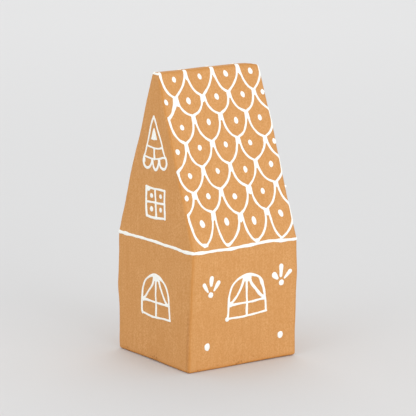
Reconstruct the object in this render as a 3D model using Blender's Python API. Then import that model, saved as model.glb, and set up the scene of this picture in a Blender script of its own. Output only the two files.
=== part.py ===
"""A decorative gingerbread house: one solid block with a steep gabled top, and raised white lines on its faces.

Metres, +Z up. The origin is at the middle of the footprint, on the surface that the block stands on.
The gables face -Y and +Y, and the ridge runs along Y. Each connected group of lines is a plate of its own
that stands a hair off the face that it decorates.
"""

import math

import bmesh
import bpy
from mathutils import Matrix, Vector
from mathutils.geometry import delaunay_2d_cdt

# Driving dimensions of the block.
GABLE_WIDTH = 0.085
RIDGE_LENGTH = 0.084
WALL_HEIGHT = 0.0803
TOTAL_HEIGHT = 0.1929
RIDGE_FLAT = 0.0068
EDGE_RADIUS = 0.0018
EDGE_SEGMENTS = 2
ROUNDED_ABOVE = math.radians(10)  # edges flatter than this stay as they are
BACK_GABLE_LEAN = 0.0028  # the +Y gable leans in by this much at the ridge
FOOT_SHIFT = Vector((-0.0029, -0.0003, 0.0))  # of the foot at the +X -Y corner
WALL_STRIPS = 4
X_AXIS, Y_AXIS, Z_AXIS = Matrix.Identity(3)

# The lines of icing.
LINE_WIDTH = 0.0021
LINE_HEIGHT = 0.0007
LINE_GAP = 0.0003
CAP_POINTS = 4
ARC_POINTS = 5
MERGE = 1e-7

# The roof's scales, counted from the ridge down: height of each row of joints above the eaves.
ROW_LEVELS = (0.1180, 0.1020, 0.0885, 0.0715, 0.0555, 0.0390, 0.0235, 0.0040)
SCALES_ACROSS = 4
EDGE_MARGIN = 0.0015
SCALE_BULGE = 0.62  # how far down a scale's side its curve turns in

# The openings drawn on the faces, in each face's own width and height.
ARCH_WIDTH = 0.0320
ARCH_HEIGHT = 0.0280
ARCH_SILL = 0.0320
ARCH_TRANSOM = 0.0095
ARCH_POWER = 2.6
ARCH_POINTS = 14
SQUARE_WIDTH = 0.0205
SQUARE_HEIGHT = 0.0185
SQUARE_SILL = 0.0180
SPIRE_TOP = 0.0830
SPIRE_BANDS = ((0.0640, 0.0086), (0.0570, 0.0125))  # height and half width of each cross line
SPIRE_SAG = 0.0010
SCALLOPS = 3
SCALLOP_DROP = 0.0065

GINGERBREAD = (0.723, 0.376, 0.153, 1.0)
ICING = (0.90, 0.90, 0.87, 1.0)


def clear_scene():
    """Removes the objects that the scene starts with."""
    for thing in list(bpy.data.objects):
        bpy.data.objects.remove(thing)


def make_material(name, colour, roughness):
    material = bpy.data.materials.new(name)
    material.use_nodes = True
    shader = material.node_tree.nodes["Principled BSDF"]
    shader.inputs["Base Color"].default_value = colour
    shader.inputs["Roughness"].default_value = roughness
    shader.inputs["Metallic"].default_value = 0.0
    return material


def hand_cut(point):
    """Where a point of the true house lies on the hand-cut one: the back gable leans in, and one foot is off."""
    along = point.y / RIDGE_LENGTH + 0.5
    across = point.x / GABLE_WIDTH + 0.5
    up_gable = max(0.0, (point.z - WALL_HEIGHT) / (TOTAL_HEIGHT - WALL_HEIGHT))
    down_wall = max(0.0, 1.0 - point.z / WALL_HEIGHT)
    lean = Vector((0.0, -BACK_GABLE_LEAN * up_gable * along, 0.0))
    return point + lean + FOOT_SHIFT * (across * (1.0 - along) * down_wall)


def add_object(name, bm, material, frame):
    """Stores a bmesh as a named object that stands at frame, once each of its points is moved as the house is cut."""
    back = frame.inverted()
    for vert in bm.verts:
        vert.co = back @ hand_cut(frame @ vert.co)
    mesh = bpy.data.meshes.new(name)
    bm.to_mesh(mesh)
    bm.free()
    mesh.materials.append(material)
    thing = bpy.data.objects.new(name, mesh)
    thing.matrix_world = frame
    bpy.context.scene.collection.objects.link(thing)
    return thing


# ---------------------------------------------------------------- the block


def block_profile():
    """The gable's outline as (x, z), anticlockwise as seen from -Y."""
    half, flat = GABLE_WIDTH / 2, RIDGE_FLAT / 2
    right = [(half, 0.0), (half, WALL_HEIGHT), (flat, TOTAL_HEIGHT)]
    return right + [(-x, z) for x, z in reversed(right)]


def cut_across(bm, spot, normal):
    """Cuts every face along a plane, and keeps both sides."""
    everything = bm.verts[:] + bm.edges[:] + bm.faces[:]
    bmesh.ops.bisect_plane(bm, geom=everything, dist=MERGE, plane_co=spot, plane_no=normal)


def build_block(material):
    """The block: the gable's outline drawn back along Y, cut into strips so that it takes its hand-cut shape."""
    bm = bmesh.new()
    front = [bm.verts.new((x, -RIDGE_LENGTH / 2, z)) for x, z in block_profile()]
    face = bm.faces.new(front)
    drawn = bmesh.ops.extrude_face_region(bm, geom=[face])
    back = [v for v in drawn["geom"] if isinstance(v, bmesh.types.BMVert)]
    bmesh.ops.translate(bm, verts=back, vec=(0.0, RIDGE_LENGTH, 0.0))
    for step in range(1, WALL_STRIPS + 1):
        share = step / WALL_STRIPS
        cut_across(bm, (0.0, 0.0, WALL_HEIGHT * share), Z_AXIS)
        cut_across(bm, (GABLE_WIDTH * (share - 0.5), 0.0, 0.0), X_AXIS)
        cut_across(bm, (0.0, RIDGE_LENGTH * (share - 0.5), 0.0), Y_AXIS)
    bmesh.ops.recalc_face_normals(bm, faces=bm.faces)
    block = add_object("house_block", bm, material, Matrix.Identity(4))
    rounding = block.modifiers.new("rounded_edges", "BEVEL")
    rounding.width = EDGE_RADIUS
    rounding.segments = EDGE_SEGMENTS
    rounding.limit_method = "ANGLE"
    rounding.angle_limit = ROUNDED_ABOVE
    return block


# ---------------------------------------------------------------- lines as flat shapes


def curve_through(start, pull, end, steps=ARC_POINTS):
    """Points along a quadratic curve from start to end, drawn towards pull."""
    points = []
    for step in range(steps + 1):
        t = step / steps
        points.append(start * (1 - t) ** 2 + pull * 2 * t * (1 - t) + end * t**2)
    return points


def ribbon(path, width=LINE_WIDTH):
    """The outline of a line of icing along a path, with round ends."""
    half = width / 2
    left, right = [], []
    for i, point in enumerate(path):
        along = (path[min(i + 1, len(path) - 1)] - path[max(i - 1, 0)]).normalized()
        side = Vector((-along.y, along.x)) * half
        left.append(point + side)
        right.append(point - side)
    end_cap = round_cap(path[-1], path[-1] - path[-2], half)
    start_cap = round_cap(path[0], path[0] - path[1], half)
    return right + end_cap + left[::-1] + start_cap


def round_cap(centre, outward, radius):
    """The points of a half round between a ribbon's two corners, anticlockwise."""
    heading = math.atan2(outward.y, outward.x)
    points = []
    for step in range(1, CAP_POINTS):
        angle = heading - math.pi / 2 + math.pi * step / CAP_POINTS
        points.append(centre + radius * Vector((math.cos(angle), math.sin(angle))))
    return points


def plate_from(outlines):
    """One closed plate, LINE_HEIGHT thick on z, over the area that the outlines cover together."""
    points, loops = [], []
    for outline in outlines:
        loops.append(list(range(len(points), len(points) + len(outline))))
        points.extend(outline)
    spots, _, areas, _, _, sources = delaunay_2d_cdt(points, [], loops, 1, MERGE)
    bm = bmesh.new()
    verts = [bm.verts.new((spot.x, spot.y, 0.0)) for spot in spots]
    for area, source in zip(areas, sources):
        if source:
            bm.faces.new([verts[i] for i in area])
    bmesh.ops.delete(bm, geom=[v for v in bm.verts if not v.link_faces], context="VERTS")
    inner = [v for v in bm.verts if not v.is_boundary]
    bmesh.ops.dissolve_verts(bm, verts=inner)
    drawn = bmesh.ops.extrude_face_region(bm, geom=bm.faces[:])
    top = [v for v in drawn["geom"] if isinstance(v, bmesh.types.BMVert)]
    bmesh.ops.translate(bm, verts=top, vec=(0.0, 0.0, LINE_HEIGHT))
    bmesh.ops.triangulate(bm, faces=bm.faces)
    bmesh.ops.recalc_face_normals(bm, faces=bm.faces)
    return bm


def square_ring(half_x, half_y, height):
    """A closed band round the block, height tall and LINE_HEIGHT thick, its inner faces at half_x and half_y."""
    bm = bmesh.new()
    bmesh.ops.create_grid(bm, x_segments=1, y_segments=1, size=1.0)
    bmesh.ops.scale(bm, verts=bm.verts, vec=(half_x + LINE_HEIGHT, half_y + LINE_HEIGHT, 1.0))
    rim = bmesh.ops.inset_region(bm, faces=bm.faces[:], thickness=LINE_HEIGHT, use_boundary=True)
    middle = [f for f in bm.faces if f not in rim["faces"]]
    bmesh.ops.delete(bm, geom=middle, context="FACES")
    drawn = bmesh.ops.extrude_face_region(bm, geom=bm.faces[:])
    top = [v for v in drawn["geom"] if isinstance(v, bmesh.types.BMVert)]
    bmesh.ops.translate(bm, verts=top, vec=(0.0, 0.0, height))
    bmesh.ops.recalc_face_normals(bm, faces=bm.faces)
    return bm


# ---------------------------------------------------------------- where each face is


def face_frame(turn, out, base, rise):
    """A face's own axes: x along it, y up it, z out of it. turn is 0 at the -Y gable and 90 degrees at the +X wall."""
    across = Vector((math.cos(turn), math.sin(turn), 0.0))
    outward = Vector((math.sin(turn), -math.cos(turn), 0.0))
    up = (Vector((0.0, 0.0, 1.0)) * rise.y - outward * rise.x).normalized()
    normal = across.cross(up)
    origin = outward * out + Vector((0.0, 0.0, base)) + normal * LINE_GAP
    frame = Matrix((across, up, normal)).transposed().to_4x4()
    frame.translation = origin
    return frame


def wall_frame(turn):
    """The frame of a wall, from the ground up."""
    out = (RIDGE_LENGTH if is_gable(turn) else GABLE_WIDTH) / 2
    return face_frame(turn, out, 0.0, Vector((0.0, 1.0)))


def gable_frame(turn):
    """The frame of a gable, from the eaves up."""
    return face_frame(turn, RIDGE_LENGTH / 2, WALL_HEIGHT, Vector((0.0, 1.0)))


def roof_frame(turn):
    """The frame of a roof slope, from the eaves up the slope."""
    run = (GABLE_WIDTH - RIDGE_FLAT) / 2
    return face_frame(turn, GABLE_WIDTH / 2, WALL_HEIGHT, Vector((run, TOTAL_HEIGHT - WALL_HEIGHT)))


def is_gable(turn):
    return abs(math.sin(turn)) < 0.5


# ---------------------------------------------------------------- the drawings


def scale_joint(row, place):
    """Where scales meet: place counts from the face's left edge, and odd rows are set over by half a scale."""
    edge = RIDGE_LENGTH / 2 - EDGE_MARGIN
    steps = place + 0.5 * (row % 2)
    across = edge * (2 * steps / SCALES_ACROSS - 1)
    return Vector((max(-edge, min(across, edge)), ROW_LEVELS[row]))


def scale_side(start, tip):
    """One side of a scale: straight down at first, then in towards the tip."""
    return curve_through(start, Vector((start.x, start.y + (tip.y - start.y) * SCALE_BULGE)), tip)


def roof_lines():
    """Both sides of every scale, and of the part scales at the ends of the odd rows."""
    lines = []
    for row in range(len(ROW_LEVELS) - 1):
        odd = row % 2
        last = SCALES_ACROSS - 1 if odd else SCALES_ACROSS
        for place in range(last + 1):
            start = scale_joint(row, place)
            if place < last or odd:
                lines.append(scale_side(start, scale_joint(row + 1, place + odd)))
            if place > 0 or odd:
                lines.append(scale_side(start, scale_joint(row + 1, place - 1 + odd)))
    return lines


def arched_window_lines():
    """An arch on a sill, a transom, an upright, and two slanting bars from the crown."""
    base = Vector((0.0, ARCH_SILL))
    half = ARCH_WIDTH / 2
    arch = []
    for step in range(ARCH_POINTS + 1):
        angle = math.pi * step / ARCH_POINTS
        across = math.copysign(abs(math.cos(angle)) ** (2 / ARCH_POWER), math.cos(angle))
        rise = abs(math.sin(angle)) ** (2 / ARCH_POWER)
        arch.append(base + Vector((half * across, ARCH_HEIGHT * rise)))
    crown = base + Vector((0.0, ARCH_HEIGHT))
    reach = half * (1 - (ARCH_TRANSOM / ARCH_HEIGHT) ** ARCH_POWER) ** (1 / ARCH_POWER)
    left, right = (base + Vector((side * reach, ARCH_TRANSOM)) for side in (-1, 1))
    return [arch, [arch[0], arch[-1]], [left, right], [base, crown], [crown, left], [crown, right]]


def square_window_lines():
    """A square frame with a cross in it."""
    half = SQUARE_WIDTH / 2
    low, high = SQUARE_SILL, SQUARE_SILL + SQUARE_HEIGHT
    middle = (low + high) / 2
    lines = [[Vector((x, low)), Vector((x, high))] for x in (-half, 0.0, half)]
    return lines + [[Vector((-half, y)), Vector((half, y))] for y in (low, middle, high)]


def spire_lines():
    """A slim spire with two sagging cross lines, and scallops under the lower one."""
    top = Vector((0.0, SPIRE_TOP))
    lines = []
    for height, half in SPIRE_BANDS:
        left, right = Vector((-half, height)), Vector((half, height))
        lines.append(curve_through(left, Vector((0.0, height - 2 * SPIRE_SAG)), right))
    low, half = SPIRE_BANDS[-1]
    lines += [[top, Vector((side * half, low))] for side in (-1, 1)]
    lines.append([Vector((0.0, SPIRE_BANDS[0][0] - SPIRE_SAG)), Vector((0.0, low - SPIRE_SAG))])
    step = 2 * half / SCALLOPS
    for scallop in range(SCALLOPS):
        start = Vector((-half + scallop * step, low - SPIRE_SAG / 2))
        loop = []
        for turn in range(2 * ARC_POINTS + 1):
            angle = math.pi * turn / (2 * ARC_POINTS)
            across, drop = step / 2 * (1 - math.cos(angle)), SCALLOP_DROP * math.sin(angle)
            loop.append(start + Vector((across, -drop)))
        lines.append(loop)
    return lines


def add_lines(name, lines, frame, material):
    add_object(name, plate_from([ribbon(line) for line in lines]), material, frame)


def build_lines(material):
    """Every group of lines, on every face that has one."""
    faces = {"front": 0.0, "east": math.pi / 2, "back": math.pi, "west": -math.pi / 2}
    for face, turn in faces.items():
        add_lines(f"arched_window_{face}", arched_window_lines(), wall_frame(turn), material)
        if is_gable(turn):
            add_lines(f"square_window_{face}", square_window_lines(), gable_frame(turn), material)
            add_lines(f"spire_{face}", spire_lines(), gable_frame(turn), material)
        else:
            add_lines(f"roof_scales_{face}", roof_lines(), roof_frame(turn), material)
    band = square_ring(GABLE_WIDTH / 2 + LINE_GAP, RIDGE_LENGTH / 2 + LINE_GAP, LINE_WIDTH)
    height = WALL_HEIGHT - LINE_WIDTH / 2
    add_object("eave_line", band, material, Matrix.Translation((0.0, 0.0, height)))


def main():
    clear_scene()
    build_block(make_material("gingerbread", GINGERBREAD, 0.85))
    build_lines(make_material("white_icing", ICING, 0.5))


main()
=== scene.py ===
"""The finished look of a gingerbread house: a hand-cut block with white lines piped on its faces."""

import logging
import math
import random
from dataclasses import dataclass, field
from enum import Enum

import bmesh
import bpy
from mathutils import Matrix, Vector, noise
from mathutils.bvhtree import BVHTree


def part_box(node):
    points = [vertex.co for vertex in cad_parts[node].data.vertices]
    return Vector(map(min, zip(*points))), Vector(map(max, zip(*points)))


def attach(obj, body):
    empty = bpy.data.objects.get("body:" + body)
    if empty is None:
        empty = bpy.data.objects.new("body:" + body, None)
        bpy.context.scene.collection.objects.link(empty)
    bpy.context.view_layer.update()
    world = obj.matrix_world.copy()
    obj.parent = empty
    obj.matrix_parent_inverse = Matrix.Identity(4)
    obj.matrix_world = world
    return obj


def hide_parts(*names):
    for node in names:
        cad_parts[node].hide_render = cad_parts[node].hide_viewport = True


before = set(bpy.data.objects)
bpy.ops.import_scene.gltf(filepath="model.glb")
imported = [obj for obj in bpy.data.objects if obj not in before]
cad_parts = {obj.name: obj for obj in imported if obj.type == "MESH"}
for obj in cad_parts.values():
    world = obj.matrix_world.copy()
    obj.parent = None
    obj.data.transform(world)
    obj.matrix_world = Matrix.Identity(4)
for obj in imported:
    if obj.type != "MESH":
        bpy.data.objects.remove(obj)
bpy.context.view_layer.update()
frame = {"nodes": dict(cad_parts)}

MM = 0.001
UP = Vector((0.0, 0.0, 1.0))
Spot = tuple[float, float]
Spread = tuple[float, float, float]

log = logging.getLogger("gingerbread_house")


class Side(Enum):
    """The four sides of the house, each with its quarter turns from the front gable."""

    FRONT = 0
    EAST = 1
    BACK = 2
    WEST = 3

    @property
    def gabled(self) -> bool:
        """Whether this side ends in a gable, and not in a roof slope."""
        return self.value % 2 == 0

    @property
    def across(self) -> Vector:
        """The way from this side's left edge to its right edge."""
        turn = self.value * math.pi / 2
        return Vector((math.cos(turn), math.sin(turn), 0.0))

    @property
    def outward(self) -> Vector:
        """The level way out of this side."""
        turn = self.value * math.pi / 2
        return Vector((math.sin(turn), -math.cos(turn), 0.0))


class Zone(Enum):
    """Which part of a side a drawing lies on."""

    WALL = "wall"
    UPPER = "upper"


class Slot(Enum):
    """The names of the two finishes, gingerbread and white icing."""

    GINGERBREAD = "gingerbread"
    ICING = "white_icing"


@dataclass(frozen=True)
class Seat:
    """A place on the rounded block and the way out of it there."""

    place: Vector
    normal: Vector


@dataclass(frozen=True)
class Corners:
    """How far the four corners of one level are off, in millimetres, as cut by hand."""

    front_west: Spread = (0.0, 0.0, 0.0)
    front_east: Spread = (0.0, 0.0, 0.0)
    back_west: Spread = (0.0, 0.0, 0.0)
    back_east: Spread = (0.0, 0.0, 0.0)

    def at(self, over: float, along: float) -> Vector:
        """How far a point is off, at these shares of the way from west to east and from front to back."""
        front = Vector(self.front_west).lerp(Vector(self.front_east), over)
        back = Vector(self.back_west).lerp(Vector(self.back_east), over)
        return front.lerp(back, along) * MM


@dataclass(frozen=True)
class Nudge:
    """A soft push on the skin of the block: its middle, how far it reaches, and the push, in millimetres."""

    middle: Spread
    reach: float
    push: Spread

    def at(self, point: Vector) -> Vector:
        """The push at a point."""
        away = (point / MM - Vector(self.middle)).length / self.reach
        return Vector(self.push) * (math.exp(-away * away) * MM)


@dataclass
class BlockShape:
    """The true shape that every piece is seated on: a gabled block with rounded edges, cut by hand.

    Attributes:
        width: Width of the gables.
        length: Length along the ridge.
        wall_height: Height of the eaves.
        height: Height of the ridge.
        swell: How far its faces stand out of the plain block that the drawings are measured on.
        ridge_flat: Width of the blunt ridge.
        edge_radius: Radius of the rounded edges.
        foot: How far the foot's corners are off.
        eaves: How far the eaves' corners are off.
        ridge: How far the ridge's corners are off.
        nudges: The hollows and swells that the hand left here and there.
        wave: Length and height of each swell that runs through all faces.
    """

    width: float
    length: float
    wall_height: float
    height: float
    swell: float
    ridge_flat: float = 6.8 * MM
    edge_radius: float = 1.9 * MM
    foot: Corners = Corners((0.6, -0.5, 0.0), (-2.9, -2.0, 0.0))
    eaves: Corners = Corners((-0.45, 0.0, 0.0), (-0.4, -0.2, 0.0), (0.0, 0.0, 0.0), (0.0, 0.1, 0.0))
    ridge: Corners = Corners((-0.4, -0.35, -0.3), (-0.4, -0.3, -0.2), (0.0, -3.0, 0.0), (0.0, -3.0, 0.0))
    nudges: tuple[Nudge, ...] = (
        Nudge((-42.5, -42.0, 44.0), 10.0, (-1.2, 0.0, 0.0)),
        Nudge((-25.0, -42.0, 125.0), 22.0, (-0.8, 0.0, 0.0)),
        Nudge((15.0, 42.0, 150.0), 16.0, (0.0, 1.0, 0.0)),
        Nudge((42.5, 42.0, 56.0), 12.0, (0.0, 0.75, 0.0)),
        Nudge((42.5, 42.0, 26.0), 11.0, (0.0, 0.3, 0.0)),
        Nudge((42.5, -42.0, 80.3), 7.0, (-1.0, 0.9, 0.0)),
        Nudge((0.0, 42.0, 193.5), 6.5, (0.0, -0.6, -1.1)),
        Nudge((-2.0, -42.0, 0.0), 26.0, (0.0, 0.0, 0.4)),
        Nudge((42.5, 24.0, 0.0), 24.0, (0.0, 0.0, 0.3)),
    )
    wave: tuple[tuple[float, float], ...] = ((34 * MM, 0.5 * MM), (11 * MM, 0.16 * MM))
    core: BVHTree = field(init=False)

    def __post_init__(self) -> None:
        """Makes the core that the rounded skin is measured from."""
        bm = self.prism(inset=self.edge_radius)
        self.core = BVHTree.FromBMesh(bm)
        bm.free()

    @classmethod
    def from_frame(cls, swell: float = 0.35 * MM) -> "BlockShape":
        """Reads the block's size from the frame.

        Args:
            swell: How far each side stands out of the plain block, to make up for its rounded edges.

        Returns:
            The shape of this house.
        """
        low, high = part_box("house_block")
        line_low, line_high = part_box("eave_line")
        eaves = (line_low.z + line_high.z) / 2
        return cls(high.x - low.x + 2 * swell, high.y - low.y + 2 * swell, eaves, high.z + swell, swell)

    def prism(self, inset: float = 0.0) -> bmesh.types.BMesh:
        """The block with sharp edges, or its core when inset.

        Args:
            inset: How far every face is moved in.

        Returns:
            A closed bmesh of the gable's outline drawn along Y.
        """
        half, flat = self.width / 2, self.ridge_flat / 2
        outline = [(half, 0.0), (half, self.wall_height), (flat, self.height)]
        outline += [(-x, z) for x, z in reversed(outline)]
        bm = bmesh.new()
        front = -self.length / 2 + inset
        gable = bm.faces.new([bm.verts.new((x, front, z)) for x, z in outline])
        gable.normal_update()
        if inset:
            rim = bmesh.ops.inset_region(
                bm, faces=[gable], thickness=inset, use_boundary=True, use_even_offset=True
            )
            bmesh.ops.delete(bm, geom=rim["faces"], context="FACES")
        drawn = bmesh.ops.extrude_face_region(bm, geom=bm.faces[:])
        back = [item for item in drawn["geom"] if isinstance(item, bmesh.types.BMVert)]
        bmesh.ops.translate(bm, verts=back, vec=(0.0, self.length - 2 * inset, 0.0))
        bmesh.ops.recalc_face_normals(bm, faces=bm.faces)
        return bm

    def span(self, side: Side) -> float:
        """The width of a side."""
        return self.width if side.gabled else self.length

    def spot(self, side: Side, zone: Zone, across: float, up: float) -> Vector:
        """A point on one side of the sharp block.

        Args:
            side: The side.
            zone: The wall, or the gable or roof slope over it.
            across: Distance from the side's left edge.
            up: Distance up from the ground, or from the eaves along the gable or the slope.

        Returns:
            The point.
        """
        depth = self.length if side.gabled else self.width
        place = side.across * (across - self.span(side) / 2 + self.swell) + side.outward * (depth / 2)
        if zone is Zone.WALL:
            return place + UP * up
        place += UP * self.wall_height
        if side.gabled:
            return place + UP * up
        slope = UP * (self.height - self.wall_height) - side.outward * ((self.width - self.ridge_flat) / 2)
        return place + slope.normalized() * up

    def seat(self, point: Vector) -> Seat:
        """Where a point of the sharp block comes to lie on the rounded one."""
        inner = self.core.find_nearest(point)[0]
        normal = (point - inner).normalized()
        return Seat(inner + normal * self.edge_radius, normal)

    def hand_cut(self, point: Vector) -> Vector:
        """Moves a point of the even block to its place on the uneven one.

        Args:
            point: A point on or close to the rounded block.

        Returns:
            The point after the odd corners, the nudges and the swells of the faces.
        """
        along = point.y / self.length + 0.5
        if point.z < self.wall_height:
            low, high, rise = self.foot, self.eaves, max(0.0, point.z / self.wall_height)
            breadth = self.width
        else:
            rise = min(1.0, (point.z - self.wall_height) / (self.height - self.wall_height))
            low, high = self.eaves, self.ridge
            breadth = self.width + (self.ridge_flat - self.width) * rise
        over = min(1.0, max(0.0, point.x / breadth + 0.5))
        moved = point + low.at(over, along).lerp(high.at(over, along), rise)
        for nudge in self.nudges:
            moved += nudge.at(point)
        for length, height in self.wave:
            swell = noise.noise_vector(point / length) * height
            swell.z *= min(1.0, point.z / length)
            moved += swell
        return moved


@dataclass(frozen=True)
class Stroke:
    """One drawn line: the spots that it passes, and its widths from start to end, all in millimetres."""

    spots: tuple[Spot, ...]
    widths: tuple[float, ...] = (1.7,)

    def run(self, step: float) -> list[tuple[Vector, float]]:
        """Follows a smooth curve through the spots.

        Args:
            step: Distance from point to point, in millimetres.

        Returns:
            Each point on the way, with the line's width there.
        """
        spots = [Vector(spot) for spot in self.spots]
        ends = [2 * spots[0] - spots[1], *spots, 2 * spots[-1] - spots[-2]]
        points = []
        for before, start, end, after in zip(ends, ends[1:], ends[2:], ends[3:]):
            count = max(2, round((end - start).length / step))
            for index in range(count):
                points.append(curve_point(before, start, end, after, index / count))
        points.append(spots[-1])
        last = len(points) - 1
        return [(point, self.width_at(index / last)) for index, point in enumerate(points)]

    def width_at(self, share: float) -> float:
        """The line's width at a share of its length."""
        if len(self.widths) == 1:
            return self.widths[0]
        place = share * (len(self.widths) - 1)
        low = min(int(place), len(self.widths) - 2)
        return self.widths[low] + (self.widths[low + 1] - self.widths[low]) * (place - low)


@dataclass(frozen=True)
class Dot:
    """One dab of icing: its middle, width, height and lean, in millimetres and degrees."""

    across: float
    up: float
    wide: float
    tall: float
    lean: float = 0.0


def curve_point(before: Vector, start: Vector, end: Vector, after: Vector, share: float) -> Vector:
    """A point between start and end on a smooth curve through four points."""
    square, cube = share * share, share**3
    return 0.5 * (
        2 * start
        + (end - before) * share
        + (2 * before - 5 * start + 4 * end - after) * square
        + (3 * start - before - 3 * end + after) * cube
    )


@dataclass(frozen=True)
class Drawing:
    """The lines and dabs on one part of one side."""

    side: Side
    zone: Zone
    strokes: tuple[Stroke, ...] = ()
    dots: tuple[Dot, ...] = ()

    def again(self, side: Side, span: float, seed: int, shake: float = 0.55) -> "Drawing":
        """Draws the same thing afresh on another side, turned left to right.

        Args:
            side: The side to draw on.
            span: That side's width, in millimetres.
            seed: Starts the hand's small errors.
            shake: The largest error, in millimetres.

        Returns:
            The new drawing.
        """
        hand = random.Random(seed)

        def off(across: float, up: float) -> Spot:
            """The same spot seen in a mirror, a little off."""
            drift = noise.noise_vector(Vector((across / 9, up / 9, seed)))
            return (span - across + drift.x * 2 * shake, up + drift.y * 2 * shake)

        strokes = tuple(
            Stroke(tuple(off(*spot) for spot in stroke.spots), stroke.widths) for stroke in self.strokes
        )
        dots = tuple(
            Dot(
                *off(dot.across, dot.up),
                dot.wide * hand.uniform(0.92, 1.1),
                dot.tall * hand.uniform(0.92, 1.1),
                -dot.lean + hand.uniform(-8, 8),
            )
            for dot in self.dots
        )
        return Drawing(side, self.zone, strokes, dots)


@dataclass(frozen=True)
class IcingPen:
    """The hand and the nozzle that lay the icing.

    Attributes:
        shape: The block that the icing lies on.
        crest: Height of a line's top over the face.
        root: Depth of its underside in the face.
        spread: How much wider the icing runs out than it is drawn.
        full_width: The width at which a line has its full height.
        step: Distance from ring to ring along a line, in millimetres.
        ring_points: Corners of a line's section.
        unsteady: How far the line wanders, in millimetres, and how much its width changes.
        wander: The length of one such change, in millimetres.
        soften: How often the joined lines are smoothed.
    """

    shape: BlockShape
    crest: float = 0.46 * MM
    root: float = 0.45 * MM
    spread: float = 1.07
    full_width: float = 1.7
    step: float = 0.7
    ring_points: int = 12
    unsteady: tuple[float, float] = (0.16, 0.13)
    wander: float = 4.5
    soften: int = 3

    def trace(self, drawing: Drawing, stroke: Stroke, seed: float) -> tuple[list[Vector], list[float]]:
        """Draws one stroke by hand on its face.

        Args:
            drawing: The drawing that the stroke is part of.
            stroke: The stroke.
            seed: Where in the noise this stroke starts.

        Returns:
            The points on the sharp block, and the width at each.
        """
        points, widths = [], []
        for index, (spot, width) in enumerate(stroke.run(self.step)):
            drift = noise.noise_vector(Vector((index * self.step / self.wander, seed, 0.5)))
            across = (spot.x + drift.x * self.unsteady[0]) * MM
            up = (spot.y + drift.y * self.unsteady[0]) * MM
            points.append(self.shape.spot(drawing.side, drawing.zone, across, up))
            widths.append(width * self.spread * (1 + drift.z * 2 * self.unsteady[1]) * MM)
        return points, widths

    def frames(self, points: list[Vector], widths: list[float]) -> list[Matrix]:
        """Where each ring of a line stands, from tip to tip.

        Args:
            points: Points on the sharp block, in order.
            widths: The line's width at each.

        Returns:
            A matrix for each ring, which turns a unit circle into the line's section there.
        """
        seats = [self.shape.seat(point) for point in points]
        last = len(seats) - 1
        rings = []
        for index, (seat, width) in enumerate(zip(seats, widths)):
            along = seats[min(index + 1, last)].place - seats[max(index - 1, 0)].place
            rings.append((seat.place, seat.normal, along.normalized(), width))
        tips = [math.radians(angle) for angle in (25, 50, 72, 86)]
        place, normal, along, width = rings[0]
        head = [(place - along * (width / 2 * math.sin(a)), normal, along, width * math.cos(a)) for a in tips]
        place, normal, along, width = rings[-1]
        tail = [(place + along * (width / 2 * math.sin(a)), normal, along, width * math.cos(a)) for a in tips]
        return [self.ring_frame(*ring) for ring in [*reversed(head), *rings, *tail]]

    def ring_frame(self, place: Vector, normal: Vector, along: Vector, width: float) -> Matrix:
        """One ring's matrix: its columns are half the width, half the height, the way along and the middle."""
        rise = min(1.0, (width / (self.full_width * MM)) ** 0.5)
        across = along.cross(normal).normalized()
        half_height = (self.crest * rise + self.root * rise) / 2
        middle = place + normal * ((self.crest - self.root) * rise / 2)
        matrix = Matrix((across * width / 2, normal * half_height, along * MM)).transposed().to_4x4()
        matrix.translation = middle
        return Matrix.Scale(1 / MM, 4) @ matrix

    def bead(self, frames: list[Matrix]) -> bmesh.types.BMesh:
        """A closed tube through the rings, made in millimetres and laid on the hand-cut block.

        Args:
            frames: The ring's matrices, in order.

        Returns:
            The tube's bmesh.
        """
        bm = bmesh.new()
        ring = bmesh.ops.create_circle(
            bm, cap_ends=True, segments=self.ring_points, radius=1.0, matrix=frames[0]
        )["verts"]
        edges = bm.edges[:]
        for before, after in zip(frames, frames[1:]):
            drawn = bmesh.ops.extrude_edge_only(bm, edges=edges)["geom"]
            ring = [item for item in drawn if isinstance(item, bmesh.types.BMVert)]
            edges = [item for item in drawn if isinstance(item, bmesh.types.BMEdge)]
            bmesh.ops.transform(bm, matrix=after @ before.inverted(), verts=ring)
        bmesh.ops.contextual_create(bm, geom=edges)
        bmesh.ops.scale(bm, verts=bm.verts, vec=(MM, MM, MM))
        return self.laid(bm)

    def dab(self, drawing: Drawing, dot: Dot, seed: float) -> bmesh.types.BMesh:
        """One dab of icing: a flattened ball with an uneven rim.

        Args:
            drawing: The drawing that the dab is part of.
            dot: The dab.
            seed: Where in the noise this dab starts.

        Returns:
            The dab's bmesh.
        """
        seat = self.shape.seat(self.shape.spot(drawing.side, drawing.zone, dot.across * MM, dot.up * MM))
        lean = Matrix.Rotation(math.radians(dot.lean), 3, seat.normal)
        across = lean @ drawing.side.across
        along = seat.normal.cross(across)
        half_height = (self.crest + self.root) / 2
        size = self.spread / 2 * MM
        matrix = Matrix((across * dot.wide * size, along * dot.tall * size, seat.normal * half_height))
        matrix = matrix.transposed().to_4x4()
        matrix.translation = seat.place + seat.normal * ((self.crest - self.root) / 2)
        bm = bmesh.new()
        bmesh.ops.create_uvsphere(bm, u_segments=20, v_segments=10, radius=1.0)
        for vert in bm.verts:
            rim = Vector((vert.co.x, vert.co.y, seed))
            vert.co.xy *= 1 + noise.noise(rim) * self.unsteady[1]
        bmesh.ops.transform(bm, matrix=matrix, verts=bm.verts)
        return self.laid(bm)

    def laid(self, bm: bmesh.types.BMesh) -> bmesh.types.BMesh:
        """Moves a piece of icing onto the hand-cut block."""
        for vert in bm.verts:
            vert.co = self.shape.hand_cut(vert.co)
        bmesh.ops.recalc_face_normals(bm, faces=bm.faces)
        return bm

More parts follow.
